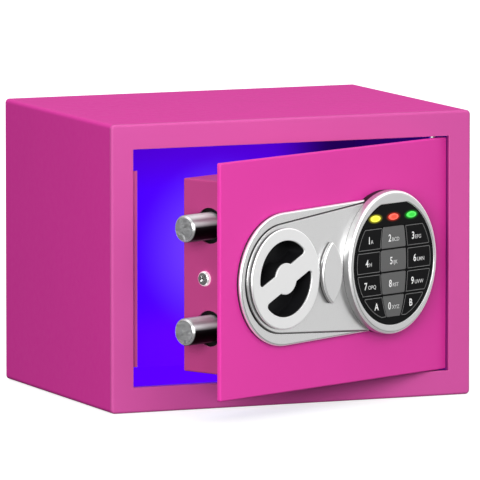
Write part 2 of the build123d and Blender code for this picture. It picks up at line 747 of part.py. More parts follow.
def make_battery_holder():
    """Open tray with a cradle for four cells lying across the door."""
    x0 = BATTERY_X - BATTERY_L / 2 - 5
    x1 = BATTERY_X + BATTERY_L / 2 + 5
    z0 = BATTERY_Z - BATTERY_R - 2
    z1 = battery_heights()[-1] + BATTERY_R + 2
    floor = BATTERY_P + BATTERY_R + 1.7
    tray = door_block(x0, x1, -36.0, floor, z0, z1)
    tray -= door_block(x0 + 1.5, x1 - 1.5, -37, BATTERY_P, z0 + 1.5, z1 - 1.5)
    for z in battery_heights():
        tray -= rod_x(x0 + 1.5, x1 - 1.5, BATTERY_P, z, BATTERY_R + 0.2)
    return tray


def make_batteries():
    """Four standard AA cells with their raised contacts."""
    half = BATTERY_L / 2
    cells = []
    for z in battery_heights():
        cell = rod_x(BATTERY_X - half, BATTERY_X + half - 1.2, BATTERY_P, z, BATTERY_R)
        cell = fillet(cell.edges().filter_by(GeomType.CIRCLE), 0.6)
        cells.append(cell + rod_x(BATTERY_X + half - 1.3, BATTERY_X + half, BATTERY_P, z, 2.7))
    return Compound(children=cells)


def make_battery_cover():
    """Sliding lid over the battery window, with its inner tongue and a finger rib."""
    x0, x1, z0, z1 = WINDOW
    lid = door_block(x0 - 4, x1 + 3, CASE_REAR - 2, CASE_REAR, z0 - 4, z1 + 4)
    lid = fillet(edges_at_proud(lid, CASE_REAR - 2), 0.8)
    lid += door_block(x0 + 0.5, x1 - 12, CASE_REAR, CASE_REAR + 1.6, z0 + 0.5, z1 - 0.5)
    for i in range(4):
        x = x0 + 4 + 3 * i
        lid += door_block(x, x + 1.2, CASE_REAR - 2.8, CASE_REAR - 1, PANEL_Z - 26, PANEL_Z - 8)
    return lid


def make_reset_switch():
    """Switch body against the casing's rear wall."""
    rear = CASE_REAR + CASE_SHEET
    body = door_block(RESET_X - 5.5, RESET_X + 5.5, rear, rear + 8, RESET_Z - 5.5, RESET_Z + 5.5)
    body -= disc(RESET_X, RESET_Z, 3.3, rear - 1, rear + 6)
    return body


def make_reset_button():
    """Reset button that stands out of the casing."""
    button = disc(RESET_X, RESET_Z, 3.0, CASE_REAR - 1.5, CASE_REAR + 5)
    return fillet(edges_at_proud(button, CASE_REAR - 1.5), 0.7)


def make_solenoid():
    """Lock solenoid: steel frame round a wound bobbin, bored for its plunger."""
    x0 = PLUNGER_X - 10
    x1 = PLUNGER_X + 10
    front = CHASSIS_WEB_P - CHASSIS_SHEET
    body = door_block(x0, x1, BOLT_P - 9.5, front, SOLENOID_Z0, SOLENOID_Z1)
    body -= door_block(x0 - 1, x1 + 1, BOLT_P - 10, BOLT_P + 7.5, SOLENOID_Z0 + 1.5, SOLENOID_Z1 - 1.5)
    body += rod_z(PLUNGER_X, BOLT_P, SOLENOID_Z0, SOLENOID_Z1, 7.4)
    body -= rod_z(PLUNGER_X, BOLT_P, SOLENOID_Z0 - 1, SOLENOID_Z1 - 3, PLUNGER_R + BEARING_GAP)
    return body


def make_plunger():
    """Plunger that blocks the carriage until it is drawn up."""
    plunger = rod_z(PLUNGER_X, BOLT_P, PLUNGER_TIP_Z, SOLENOID_Z1 - 10, PLUNGER_R)
    plunger = chamfer(plunger.edges().filter_by(GeomType.CIRCLE).sort_by(Axis.Z)[0], 0.8)
    plunger += rod_z(PLUNGER_X, BOLT_P, PLUNGER_TIP_Z + 1.6, PLUNGER_TIP_Z + 2.6, 6.2)
    return plunger


def make_plunger_spring():
    """Coil spring between the plunger's collar and the solenoid."""
    low = PLUNGER_TIP_Z + 2.6 + 0.5
    height = SOLENOID_Z0 - 0.5 - low
    radius = 5.0
    path = Helix(pitch=height / 4, height=height, radius=radius)
    profile = Plane(path @ 0, z_dir=path % 0) * Circle(0.4)
    return Pos(PLUNGER_X, -BOLT_P, low) * sweep(profile, path=path, is_frenet=True)


# ================================================================ write every piece
def write(name, shape):
    """Store one piece as its own file."""
    export_step(shape, "parts/" + name + ".step")


def write_body():
    """Pieces that never move."""
    write("body_wrap", make_body_wrap())
    write("front_frame", make_front_frame())
    write("back_panel", make_back_panel())
    write("keeper_strip", make_keeper_strip())
    write("hinge_pins", make_hinge_pins())
    write("floor_mat", make_floor_mat())


def write_door():
    """Pieces that ride on the door."""
    pieces = {
        "door_plate": make_door_plate(),
        "hinge_brackets": make_hinge_brackets(),
        "lock_casing": make_lock_casing(),
        "casing_screws": make_casing_screws(),
        "casing_tab": make_casing_tab(),
        "bolt_chassis": make_bolt_chassis(),
        "panel_housing": make_panel_housing(),
        "panel_nuts": make_panel_nuts(),
        "keypad_base": make_keypad_base(),
        "keypad_bezel": make_keypad_bezel(),
        "keypad_face": make_keypad_face(),
        "keypad_board": make_keypad_board(),
        "key_mat": make_key_mat(),
        "led_yellow": make_led(-1),
        "led_red": make_led(0),
        "led_green": make_led(1),
        "emergency_barrel": make_emergency_barrel(),
        "barrel_nut": make_barrel_nut(),
        "control_board": make_control_board(),
        "board_spacers": make_board_spacers(),
        "board_lead": make_board_lead(),
        "buzzer": make_buzzer(),
        "battery_holder": make_battery_holder(),
        "batteries": make_batteries(),
        "reset_switch": make_reset_switch(),
        "solenoid": make_solenoid(),
        "plunger_spring": make_plunger_spring(),
    }
    for name, shape in pieces.items():
        write(name, hang(shape))


def write_movers():
    """Pieces that move on the door."""
    upper, lower = bolt_heights()
    pieces = {
        "knob_face": make_knob_face(),
        "knob_cup": make_knob_cup(),
        "knob_shaft": make_knob_shaft(),
        "knob_cam": make_knob_cam(),
        "bolt_carriage": make_bolt_carriage(),
        "bolt_upper": make_bolt(upper),
        "bolt_lower": make_bolt(lower),
        "bolt_screws": make_bolt_screws(),
        "solenoid_plunger": make_plunger(),
        "key_cover": make_key_cover(),
        "emergency_plug": make_emergency_plug(),
        "emergency_cam": make_emergency_cam(),
        "battery_cover": make_battery_cover(),
        "reset_button": make_reset_button(),
    }
    for row, names in enumerate(KEY_NAMES):
        for column, name in enumerate(names):
            pieces["key_" + name] = make_key(row, column)
    for name, shape in pieces.items():
        write(name, hang(shape))


os.makedirs("parts", exist_ok=True)
write_body()
write_door()
write_movers()
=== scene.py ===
import json
import math

import bmesh
import bpy
from mathutils import Matrix, Vector


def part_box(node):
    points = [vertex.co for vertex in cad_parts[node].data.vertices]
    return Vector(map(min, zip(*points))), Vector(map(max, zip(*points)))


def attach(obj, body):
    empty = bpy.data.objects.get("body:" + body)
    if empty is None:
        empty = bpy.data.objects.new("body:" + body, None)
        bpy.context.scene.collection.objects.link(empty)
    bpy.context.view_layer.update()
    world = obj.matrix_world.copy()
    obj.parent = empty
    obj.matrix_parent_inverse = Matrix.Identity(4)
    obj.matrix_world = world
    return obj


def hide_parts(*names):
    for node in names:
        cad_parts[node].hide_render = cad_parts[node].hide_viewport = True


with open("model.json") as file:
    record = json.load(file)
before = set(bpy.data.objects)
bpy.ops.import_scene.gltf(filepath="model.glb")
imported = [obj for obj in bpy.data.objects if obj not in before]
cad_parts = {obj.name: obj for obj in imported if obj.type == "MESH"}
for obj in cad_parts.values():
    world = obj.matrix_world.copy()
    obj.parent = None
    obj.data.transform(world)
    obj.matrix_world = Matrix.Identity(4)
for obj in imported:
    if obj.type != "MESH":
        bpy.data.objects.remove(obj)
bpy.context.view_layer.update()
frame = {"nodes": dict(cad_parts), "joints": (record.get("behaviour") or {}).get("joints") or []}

# Small electronic safe, door ajar. Everything is in metres, in the row frame: X right, Y back, Z up.
# DOOR is the ajar door's own frame: x along the leaf, y up and z proud of it, from the hinge axis.

MM = 0.001
UP = (0, 0, 1)
BLACK = (0, 0, 0)
WHITE = (1, 1, 1)
NODES = frame["nodes"]
JOINTS = {joint["name"]: joint for joint in frame["joints"]}

# The safe's body, from the face of its front frame to its back.
BODY_LOW, BODY_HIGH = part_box("body_wrap")
BODY_LOW.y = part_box("front_frame")[0].y
BODY_MIDDLE = (0, 0, 0.085)

# The small words beside the figures are plain letters, A to Z in key order.
KEY_NAMES = "1 2 3 4 5 6 7 8 9 a 0 b".split()
GREY_KEYS = "2580"
KEY_WORDS = {
    "1": "A",
    "2": "BCD",
    "3": "EFG",
    "4": "H",
    "5": "IJK",
    "6": "LMN",
    "7": "OPQ",
    "8": "RST",
    "9": "UVW",
    "0": "XYZ",
}


# ------------------------------------------------------------------ the door's frame
def door_frame():
    """Matrix from the door's own frame to the row frame, taken from the joints."""
    along = Vector(JOINTS["bolt_slide"]["axis"])
    proud = Vector(JOINTS["key_cover_pull"]["axis"])
    hinge = Vector(JOINTS["door_hinge"]["pos_m"])
    matrix = Matrix((along, UP, proud)).transposed().to_4x4()
    matrix.translation = (hinge.x, hinge.y, 0)
    return matrix


DOOR = door_frame()
TO_DOOR = DOOR.inverted()
LEAF = DOOR.col[0].xyz
PROUD = DOOR.col[2].xyz


def door_points(node):
    """A CAD node's vertices in the door's frame."""
    return [TO_DOOR @ vertex.co for vertex in NODES[node].data.vertices]


def door_box(node):
    """Lowest and highest corner of a CAD node in the door's frame."""
    points = door_points(node)
    low = Vector(min(p[i] for p in points) for i in range(3))
    high = Vector(max(p[i] for p in points) for i in range(3))
    return low, high


# ------------------------------------------------------------------ camera
def make_camera():
    """Long lens from the front left, a little above the safe."""
    yaw = math.radians(22.825)
    pitch = math.radians(-6.665)
    lens = 624.23
    place = (-1.91675, -4.55948, 0.66633)
    level = math.cos(pitch)
    ahead = Vector((math.sin(yaw) * level, math.cos(yaw) * level, math.sin(pitch)))
    data = bpy.data.cameras.new("camera")
    data.sensor_width = 36
    data.lens = lens
    data.clip_end = 50
    camera = bpy.data.objects.new("camera", data)
    camera.location = place
    camera.rotation_euler = ahead.to_track_quat("-Z", "Y").to_euler()
    bpy.context.scene.collection.objects.link(camera)
    bpy.context.scene.camera = camera


# ------------------------------------------------------------------ material graphs
class Graph:
    """One node tree, with short calls for the nodes that the finishes use."""

    def __init__(self, tree, shader):
        self.tree = tree
        self.shader = tree.nodes[shader]
        self.place = None

    def add(self, kind, **settings):
        node = self.tree.nodes.new("ShaderNode" + kind)
        for name, value in settings.items():
            setattr(node, name, value)
        return node

    def put(self, socket, value):
        """Links an output to a socket, or sets a constant on it."""
        if isinstance(value, bpy.types.NodeSocket):
            self.tree.links.new(value, socket)
        elif hasattr(value, "__len__") and len(value) == 3 and socket.type == "RGBA":
            socket.default_value = (*value, 1)
        else:
            socket.default_value = value

    def set(self, label, value):
        self.put(self.shader.inputs[label], value)

    def emit(self, colour, strength=1.0):
        """Light given off, in a colour that may vary over the surface, at one strength."""
        self.set("Emission Color", colour)
        self.shader.inputs["Emission Strength"].default_value = strength

    def position(self):
        """Where the point is on the object at rest, in metres."""
        if self.place is None:
            self.place = self.add("TexCoord").outputs["Object"]
        return self.place

    def math(self, operation, a, b=0.0):
        node = self.add("Math", operation=operation)
        self.put(node.inputs[0], a)
        self.put(node.inputs[1], b)
        return node.outputs[0]

    def vector(self, operation, a, b, output="Vector"):
        node = self.add("VectorMath", operation=operation)
        self.put(node.inputs[0], a)
        self.put(node.inputs[1], b)
        return node.outputs[output]

    def along(self, direction, origin=(0, 0, 0)):
        """Distance of the point from an origin, along a direction."""
        offset = self.vector("SUBTRACT", self.position(), origin)
        return self.vector("DOT_PRODUCT", offset, direction, "Value")

    def around(self, axis, origin):
        """Distance of the point from an axis through an origin."""
        offset = self.vector("SUBTRACT", self.position(), origin)
        return self.vector("LENGTH", self.vector("CROSS_PRODUCT", offset, axis), (0, 0, 0), "Value")

    def facing(self, direction):
        """Cosine between the face's normal at rest and a direction."""
        return self.vector("DOT_PRODUCT", self.add("TexCoord").outputs["Normal"], direction, "Value")

    def both(self, *masks):
        """Product of masks: 1 where all of them are 1."""
        total = masks[0]
        for mask in masks[1:]:
            total = self.math("MULTIPLY", total, mask)
        return total

    def apart(self, value, level):
        """How far a value is from a level."""
        return self.math("ABSOLUTE", self.math("SUBTRACT", value, level))

    def band(self, value, rise, fall):
        """1 between two levels; each is given as the pair of values that its ramp spans."""
        return self.both(self.fit(value, *rise), self.fit(value, *fall, 1.0, 0.0))

    def axes(self):
        """The point's X, Y and Z in the row frame."""
        node = self.add("SeparateXYZ")
        self.put(node.inputs[0], self.position())
        return node.outputs

    def stretched(self, directions, scales):
        """The point measured along three directions, each with its own scale."""
        node = self.add("CombineXYZ")
        for i, (direction, scale) in enumerate(zip(directions, scales)):
            self.put(node.inputs[i], self.math("MULTIPLY", self.along(direction), scale))
        return node.outputs[0]

    def noise(self, size, detail=2.0, roughness=0.5, at=None):
        """Noise from 0 to 1 whose cells are about size metres across."""
        node = self.add("TexNoise")
        self.put(node.inputs["Vector"], at or self.position())
        node.inputs["Scale"].default_value = 1 / size
        node.inputs["Detail"].default_value = detail
        node.inputs["Roughness"].default_value = roughness
        return node.outputs["Fac"]

    def cells(self, size, feature="F1", output="Distance"):
        node = self.add("TexVoronoi", feature=feature)
        self.put(node.inputs["Vector"], self.position())
        node.inputs["Scale"].default_value = 1 / size
        return node.outputs[output]

    def fit(self, value, low, high, to_low=0.0, to_high=1.0, smooth=False):
        """Maps low..high to to_low..to_high, clamped."""
        node = self.add("MapRange", interpolation_type="SMOOTHSTEP" if smooth else "LINEAR")
        for i, item in enumerate((value, low, high, to_low, to_high)):
            self.put(node.inputs[i], item)
        return node.outputs[0]

    def mix(self, share, a, b, blend="MIX"):
        node = self.add("Mix", data_type="RGBA", blend_type=blend)
        self.put(node.inputs["Factor"], share)
        self.put(node.inputs[6], a)
        self.put(node.inputs[7], b)
        return node.outputs[2]

    def bump(self, height, distance, normal=None):
        node = self.add("Bump")
        node.inputs["Distance"].default_value = distance
        self.put(node.inputs["Height"], height)
        if normal:
            self.put(node.inputs["Normal"], normal)
        return node.outputs[0]

    def soft_edge(self, radius):
        """Normal that rounds the edges off by a small radius."""
        node = self.add("Bevel", samples=4)
        node.inputs["Radius"].default_value = radius
        return node.outputs[0]

    def edge(self, radius, low=0.01, high=0.12):
        """1 along the edges, 0 on the flats."""
        facing = self.add("NewGeometry").outputs["Normal"]
        match = self.vector("DOT_PRODUCT", self.soft_edge(radius), facing, "Value")
        return self.fit(self.math("SUBTRACT", 1.0, match), low, high)


class Surface(Graph):
    """One material, ending in a Principled shader."""

    def __init__(self, name, **constants):
        self.material = bpy.data.materials.new(name)
        self.material.use_nodes = True
        super().__init__(self.material.node_tree, "Principled BSDF")
        for label, value in constants.items():
            label = label.replace("_", " ").title().replace("Ior", "IOR")
            self.shader.inputs[label].default_value = value


def shade(colour, factor):
    """A colour made lighter or darker."""
    return tuple(channel * factor for channel in colour)


# ------------------------------------------------------------------ paint
MAGENTA = (0.70, 0.040, 0.345)
# Painted sheen: the frame's pink is a duller copy of the door's magenta, standing in for the sheen the
# frame catches.
SHEEN_FRAME_PINK = (0.56, 0.078, 0.31)
# Painted shade: the casing's pink is a darker copy of the magenta coat.
SHADED_CASING_PINK = (0.44, 0.050, 0.20)
# Painted shade for the return lip beside the hinges, which the door keeps dark.
LIP_PAINTED_SHADE = (0.26, 0.020, 0.19)
VIOLET = (0.075, 0.0, 0.60)
# Painted shade: darker violet for the inside towards its right, the hinge side.
SHADED_VIOLET = (0.02, 0.0, 0.06)
PAINT_SPECULAR = 0.16


def powder_texture(g):
    """Orange peel and fine grain of baked powder."""
    peel = g.noise(1.3 * MM, 1.0)
    grain = g.noise(0.28 * MM, 2.0)
    relief = g.bump(peel, 0.018 * MM, g.soft_edge(0.45 * MM))
    g.set("Normal", g.bump(grain, 0.010 * MM, relief))
    g.set("Roughness", g.fit(g.noise(4 * MM), 0.3, 0.7, 0.38, 0.47))


def coat(g, base):
    """The coat's colour: faint clouds and specks, and a painted highlight along the edges."""
    cloud = g.mix(g.noise(35 * MM, 3.0), shade(base, 0.98), shade(base, 1.02))
    specks = g.fit(g.noise(0.5 * MM, 1.0), 0.62, 0.8, 0.0, 0.18)
    cloud = g.mix(specks, cloud, shade(base, 0.80))
    # Painted highlight: the edges are mixed towards a paler colour.
    pale = tuple(0.80 * channel + 0.16 for channel in base)
    return g.mix(g.math("MULTIPLY", g.edge(0.5 * MM), 0.55), cloud, pale)


def powder_coat(name, base):
    """Baked powder coat of one colour."""
    g = Surface(name, specular_ior_level=PAINT_SPECULAR)
    g.set("Base Color", coat(g, base))
    powder_texture(g)
    return g.material


def inside_mask(g, front):
    """1 on the safe's inner faces behind a front depth, 0 on its outer ones."""
    x, y, z = g.axes()
    skin = 0.75 * MM
    back = 1.1 * MM
    return g.both(
        g.math("LESS_THAN", g.math("ABSOLUTE", x), BODY_HIGH.x - skin),
        g.math("GREATER_THAN", y, BODY_LOW.y + front),
        g.math("LESS_THAN", y, BODY_HIGH.y - back),
        g.math("GREATER_THAN", z, BODY_LOW.z + skin),
        g.math("LESS_THAN", z, BODY_HIGH.z - skin),
    )


def hinge_lip_shade_mask(g):
    """1 on the return lip beside the hinges, where the door's shade is painted dark."""
    x, y, z = g.axes()
    return g.both(
        g.fit(y, BODY_LOW.y + 0.6 * MM, BODY_LOW.y + 1.6 * MM),
        g.fit(x, 90 * MM, 95 * MM),
        g.math("LESS_THAN", x, 105 * MM),
        g.math("LESS_THAN", y, BODY_LOW.y + 12 * MM),
        g.math("LESS_THAN", g.apart(z, BODY_MIDDLE[2]), 74 * MM),
    )


def painted_glow_colour(g):
    """Painted violet glow inside: a painted pool of light palest in the middle of the back, and painted
    shade fading it to the top, front and right.
    """
    floor_violet = (0.130, 0.0, 1.0)
    wall_violet = (0.080, 0.0, 1.0)
    shaded_top_violet = (0.090, 0.0, 0.42)
    lit_pool_violet = (0.22, 0.080, 1.0)
    shade_violet = (0.012, 0.0, 0.060)
    centre = (26 * MM, BODY_HIGH.y, 74 * MM)
    spread = g.vector("LENGTH", g.vector("SUBTRACT", g.position(), centre), (0, 0, 0), "Value")
    x, y, z = g.axes()
    lower = g.mix(g.fit(z, 20 * MM, 45 * MM, smooth=True), floor_violet, wall_violet)
    upper = g.mix(g.fit(z, 95 * MM, 140 * MM, smooth=True), lower, shaded_top_violet)
    # Painted pool of light round the middle of the back.
    painted_pool = g.fit(spread, 10 * MM, 60 * MM, 0.9, 0.0, smooth=True)
    glow = g.mix(painted_pool, upper, lit_pool_violet)
    # Painted shade towards the front and the right.
    front = g.fit(y, BODY_LOW.y + 14 * MM, BODY_LOW.y + 2 * MM, 0.0, 0.85, smooth=True)
    right = g.fit(x, 55 * MM, 100 * MM, 0.0, 0.93, smooth=True)
    return g.mix(g.math("MAXIMUM", front, right), glow, shade_violet)


def shell_coat(name, base, front):
    """Magenta outside and violet inside with a painted glow, parted where the sheet's faces part."""
    g = Surface(name, specular_ior_level=PAINT_SPECULAR)
    inner = inside_mask(g, front)
    outer = g.mix(hinge_lip_shade_mask(g), coat(g, base), LIP_PAINTED_SHADE)
    # Painted shade: the inside darkens towards the right, the hinge side.
    violet_with_shade = g.mix(g.fit(g.axes()[0], 55 * MM, 100 * MM, smooth=True), VIOLET, SHADED_VIOLET)
    g.set("Base Color", g.mix(inner, outer, violet_with_shade))
    # Painted glow: the inside gives off violet light, though it holds no lamp.
    g.emit(g.mix(inner, BLACK, painted_glow_colour(g)), 0.74)
    powder_texture(g)
    return g.material


# ------------------------------------------------------------------ metals
SILVER = (0.66, 0.66, 0.66)


def groove_mask(g, proud, level):
    """1 on the floor and the wall of a groove whose floor is at one level, where shade is painted."""
    facing = g.facing(PROUD)
    on_level = g.math("LESS_THAN", g.apart(proud, level), 0.08 * MM)
    bottom = g.both(on_level, g.math("GREATER_THAN", facing, 0.95))
    upright = g.math("LESS_THAN", g.math("ABSOLUTE", facing), 0.2)
    wall = g.both(upright, g.math("GREATER_THAN", proud, level))
    return g.math("MAXIMUM", bottom, wall)


def satin_silver(name, shoulder, foot, base=SILVER, rough=0.30, groove=None):
    """Silver lacquer with fine flakes: a painted highlight on its shoulder and edges, painted shade in
    the groove if one is given, and painted black shade below the foot's level.
    """
    metallic = 0.85
    g = Surface(name, coat_weight=0.15, coat_roughness=0.25)
    flakes = g.cells(0.10 * MM, output="Color")
    tint = g.mix(0.10, base, flakes, "SOFT_LIGHT")
    grey = g.mix(g.noise(22 * MM), shade(base, 0.97), shade(base, 1.03))
    tint = g.mix(0.5, tint, grey)
    proud = g.along(PROUD, DOOR.translation)
    low, high = shoulder
    # Painted highlight: a white, glowing band on the shoulder, and along the edges.
    shoulder_highlight = g.band(proud, (low - 0.3 * MM, low), (high, high + 0.08 * MM))
    rim = g.math("MAXIMUM", g.edge(0.40 * MM, 0.02, 0.10), shoulder_highlight)
    colour = g.mix(rim, tint, WHITE)
    if groove is not None:
        # Painted shade: the groove's floor and wall are dark grey.
        groove_shade = groove_mask(g, proud, groove)
        colour = g.mix(groove_shade, colour, (0.10, 0.10, 0.10))
        rim = g.both(rim, g.math("SUBTRACT", 1.0, groove_shade))
    # Painted shade: black below the foot's level.
    above = g.fit(proud, foot - 0.15 * MM, foot + 0.05 * MM)
    rim = g.both(rim, above)
    g.set("Metallic", g.math("MULTIPLY", above, metallic))
    g.set("Base Color", g.mix(above, (0.015, 0.015, 0.016), colour))
    # The painted highlight also glows.
    g.emit(g.mix(rim, BLACK, (0.24, 0.24, 0.24)))
    g.set("Roughness", g.fit(g.noise(0.25 * MM), 0.3, 0.7, rough - 0.03, rough + 0.05))
    g.set("Normal", g.bump(g.noise(0.16 * MM, 2.0), 0.004 * MM, g.soft_edge(0.25 * MM)))
    return g.material


def turned_chrome(name, directions):
    """Chromed bar, turned so that its gloss spreads along it: a painted highlight on its nose, and a
    painted dark reflection on its underside.
    """
    g = Surface(name, metallic=1.0, anisotropic=0.95)
    marks = g.noise(1.0, 3.0, at=g.stretched(directions, (6000, 250, 250)))
    tip = DOOR @ door_box("bolt_upper")[0]
    reach = g.along(directions[0], tip)
    # Painted highlight: the nose is near-white and glows.
    nose = g.band(reach, (0.02 * MM, 0.10 * MM), (0.8 * MM, 1.1 * MM))
    # Painted dark reflection: faces turning from level to downwards are near black, past the nose.
    up = g.facing(UP)
    painted_dark_underside = g.both(g.fit(up, 0.52, 0.12), g.fit(up, -0.92, -0.80, 0.6, 1.0))
    painted_dark_underside = g.both(painted_dark_underside, g.fit(reach, 0.9 * MM, 1.4 * MM))
    chrome = g.mix(marks, (0.62, 0.63, 0.64), (0.72, 0.72, 0.73))
    chrome_and_dark_reflection = g.mix(painted_dark_underside, chrome, (0.012, 0.011, 0.012))
    g.set("Base Color", g.mix(nose, chrome_and_dark_reflection, (0.9, 0.9, 0.9)))
    g.emit(g.mix(nose, BLACK, (0.20, 0.20, 0.20)))
    g.set("Roughness", g.fit(marks, 0.3, 0.7, 0.40, 0.48))
    g.set("Tangent", g.vector("NORMALIZE", directions[0], (0, 0, 0)))
    g.set("Normal", g.bump(marks, 0.001 * MM, g.soft_edge(0.2 * MM)))
    return g.material


def screw_chrome(name):
    """Chromed screw head, with a painted highlight round its rounded rim."""
    g = Surface(name, metallic=1.0)
    low, high = door_box("casing_screws")
    # Painted highlight: the rim is white and glows.
    rim = g.fit(g.around(LEAF, DOOR @ ((low + high) / 2)), 3.4 * MM, 3.7 * MM)
    chrome = g.mix(g.noise(0.8 * MM), (0.5, 0.5, 0.5), (0.7, 0.7, 0.7))
    g.set("Base Color", g.mix(rim, chrome, WHITE))
    g.emit(g.mix(rim, BLACK, (0.50, 0.50, 0.50)))
    g.set("Roughness", g.fit(g.noise(0.6 * MM), 0.3, 0.7, 0.18, 0.28))
    return g.material


def zinc_plate(name, base=(0.60, 0.61, 0.64), rough=0.34):
    """Bright zinc with a soft spangle, and a painted highlight along its edges."""
    g = Surface(name, metallic=1.0)
    spangle = g.cells(2.2 * MM, output="Color")
    cloud = g.mix(0.25, base, spangle, "SOFT_LIGHT")
    # Painted highlight: the edges are lighter.
    g.set("Base Color", g.mix(g.edge(0.3 * MM), cloud, shade(base, 1.3)))
    g.set("Roughness", g.fit(g.noise(1.5 * MM, 3.0), 0.3, 0.7, rough - 0.08, rough + 0.10))
    g.set("Normal", g.bump(g.noise(0.3 * MM, 2.0), 0.006 * MM, g.soft_edge(0.2 * MM)))
    return g.material


def turned_brass(name):
    """Brass with concentric tool marks about the emergency lock's axis."""
    g = Surface(name, metallic=1.0)
    hub = JOINTS["emergency_turn"]
    pitch = 0.25 * MM
    radius = g.around(hub["axis"], hub["pos_m"])
    rings = g.math("SINE", g.math("MULTIPLY", radius, 2 * math.pi / pitch))
    g.set("Base Color", g.mix(g.noise(2 * MM), (0.70, 0.52, 0.22), (0.80, 0.64, 0.32)))
    g.set("Roughness", g.fit(rings, -1, 1, 0.20, 0.34))
    g.set("Normal", g.bump(rings, 0.002 * MM, g.soft_edge(0.2 * MM)))
    return g.material


# ------------------------------------------------------------------ plastics, rubber and inks
KEYPAD_SPECULAR = 0.05


def grained_plastic(name, base, rough, grain=0.35 * MM, specular=0.5):
    """Moulded plastic with a spark-eroded grain."""
    g = Surface(name, specular_ior_level=specular)
    g.set("Base Color", g.mix(g.noise(4 * grain, 3.0), shade(base, 0.88), shade(base, 1.12)))
    g.set("Roughness", g.fit(g.noise(2 * grain), 0.3, 0.7, rough - 0.05, rough + 0.06))
    g.set("Normal", g.bump(g.noise(grain, 2.0), 0.010 * MM, g.soft_edge(0.2 * MM)))
    return g.material


def key_plastic(name, low_colour, high_colour):
    """Key cap, faintly lighter towards the top of the keypad."""
    g = Surface(name, specular_ior_level=KEYPAD_SPECULAR)
    low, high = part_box("keypad_face")
    height = g.fit(g.axes()[2], low.z, high.z)
    g.set("Base Color", g.mix(height, low_colour, high_colour))
    g.set("Roughness", g.fit(g.noise(0.5 * MM), 0.3, 0.7, 0.38, 0.47))
    g.set("Normal", g.bump(g.noise(0.2 * MM), 0.003 * MM, g.soft_edge(0.15 * MM)))
    return g.material


LED_COLOURS = {
    "led_yellow": (0.86, 0.80, 0.02),
    "led_red": (0.90, 0.055, 0.02),
    "led_green": (0.01, 0.62, 0.03),
}


def led_distance(g, node):
    """Elliptical distance from an indicator's centre, 1 at the lens's rim."""
    low, high = door_box(node)
    centre = DOOR @ ((low + high) / 2)
    squares = []
    for direction, width in ((LEAF, high.x - low.x), (UP, high.y - low.y)):
        share = g.math("DIVIDE", g.along(direction, centre), width / 2)
        squares.append(g.math("POWER", g.math("ABSOLUTE", share), 2.0))
    return g.math("SQRT", g.math("ADD", *squares))


def lit_lens(name, node):
    """Diffusing lens lit from behind, brightest in a ring near its rim."""
    g = Surface(name, specular_ior_level=0.5, roughness=0.25)
    colour = LED_COLOURS[node]
    reach = led_distance(g, node)
    pale = tuple(0.85 * channel + 0.13 for channel in colour)
    ring = g.fit(reach, 0.45, 0.8, smooth=True)
    g.set("Base Color", g.mix(g.noise(0.6 * MM), shade(colour, 0.9), colour))
    g.emit(g.mix(ring, shade(colour, 0.55), pale), 0.62)
    g.set("Normal", g.bump(g.noise(0.3 * MM), 0.01 * MM))
    return g.material


def keypad_gloss(name):
    """Black keypad face, with each indicator's light painted as a glow spilling round its lens."""
    g = Surface(name, specular_ior_level=KEYPAD_SPECULAR)
    black = (0.0040, 0.0041, 0.0045)
    g.set("Base Color", g.mix(g.noise(3 * MM, 3.0), shade(black, 0.8), shade(black, 1.3)))
    g.set("Roughness", g.fit(g.noise(0.6 * MM), 0.3, 0.7, 0.32, 0.42))
    g.set("Normal", g.bump(g.noise(0.2 * MM), 0.003 * MM, g.soft_edge(0.15 * MM)))
    spill = BLACK
    # Painted light: a glow round each indicator's lens.
    for node, colour in LED_COLOURS.items():
        reach = g.fit(led_distance(g, node), 0.9, 1.75, 1.0, 0.0, smooth=True)
        spill = g.mix(g.math("POWER", reach, 1.6), spill, shade(colour, 0.6), "ADD")
    g.emit(spill, 0.8)
    return g.material


def ink(name, colour):
    """Printed ink with faint screen texture."""
    g = Surface(name, specular_ior_level=0.3, roughness=0.5)
    g.set("Base Color", g.mix(g.noise(0.3 * MM), shade(colour, 0.93), colour))
    g.set("Normal", g.bump(g.noise(0.15 * MM), 0.002 * MM))
    return g.material


def solder_mask(name):
    """Green board with paler traces and dots of solder."""
    g = Surface(name, specular_ior_level=0.5, roughness=0.3)
    traces = g.fit(g.cells(3.2 * MM, "DISTANCE_TO_EDGE"), 0.03, 0.06)
    green = g.mix(traces, (0.06, 0.32, 0.12), (0.02, 0.15, 0.05))
    pads = g.fit(g.cells(4.5 * MM), 0.12, 0.16)
    g.set("Base Color", g.mix(pads, (0.62, 0.62, 0.60), green))
    g.set("Normal", g.bump(traces, 0.02 * MM, g.soft_edge(0.2 * MM)))
    return g.material


def battery_jacket(name):
    """Dark jacket with a copper-coloured band at the raised end, and bare steel ends."""
    g = Surface(name, roughness=0.3)
    low, high = door_box("batteries")
    reach = g.along(LEAF, DOOR @ low)
    length = high.x - low.x
    band = g.math("GREATER_THAN", reach, 0.70 * length)
    jacket = g.mix(band, (0.015, 0.015, 0.018), (0.55, 0.25, 0.10))
    flat_end = g.math("LESS_THAN", reach, 0.6 * MM)
    raised_end = g.math("GREATER_THAN", reach, length - 1.9 * MM)
    ends = g.math("MAXIMUM", flat_end, raised_end)
    g.set("Base Color", g.mix(ends, jacket, (0.65, 0.65, 0.66)))
    g.set("Metallic", g.math("MAXIMUM", ends, g.math("MULTIPLY", band, 0.8)))
    g.set("Normal", g.bump(g.noise(0.8 * MM), 0.004 * MM))
    return g.material


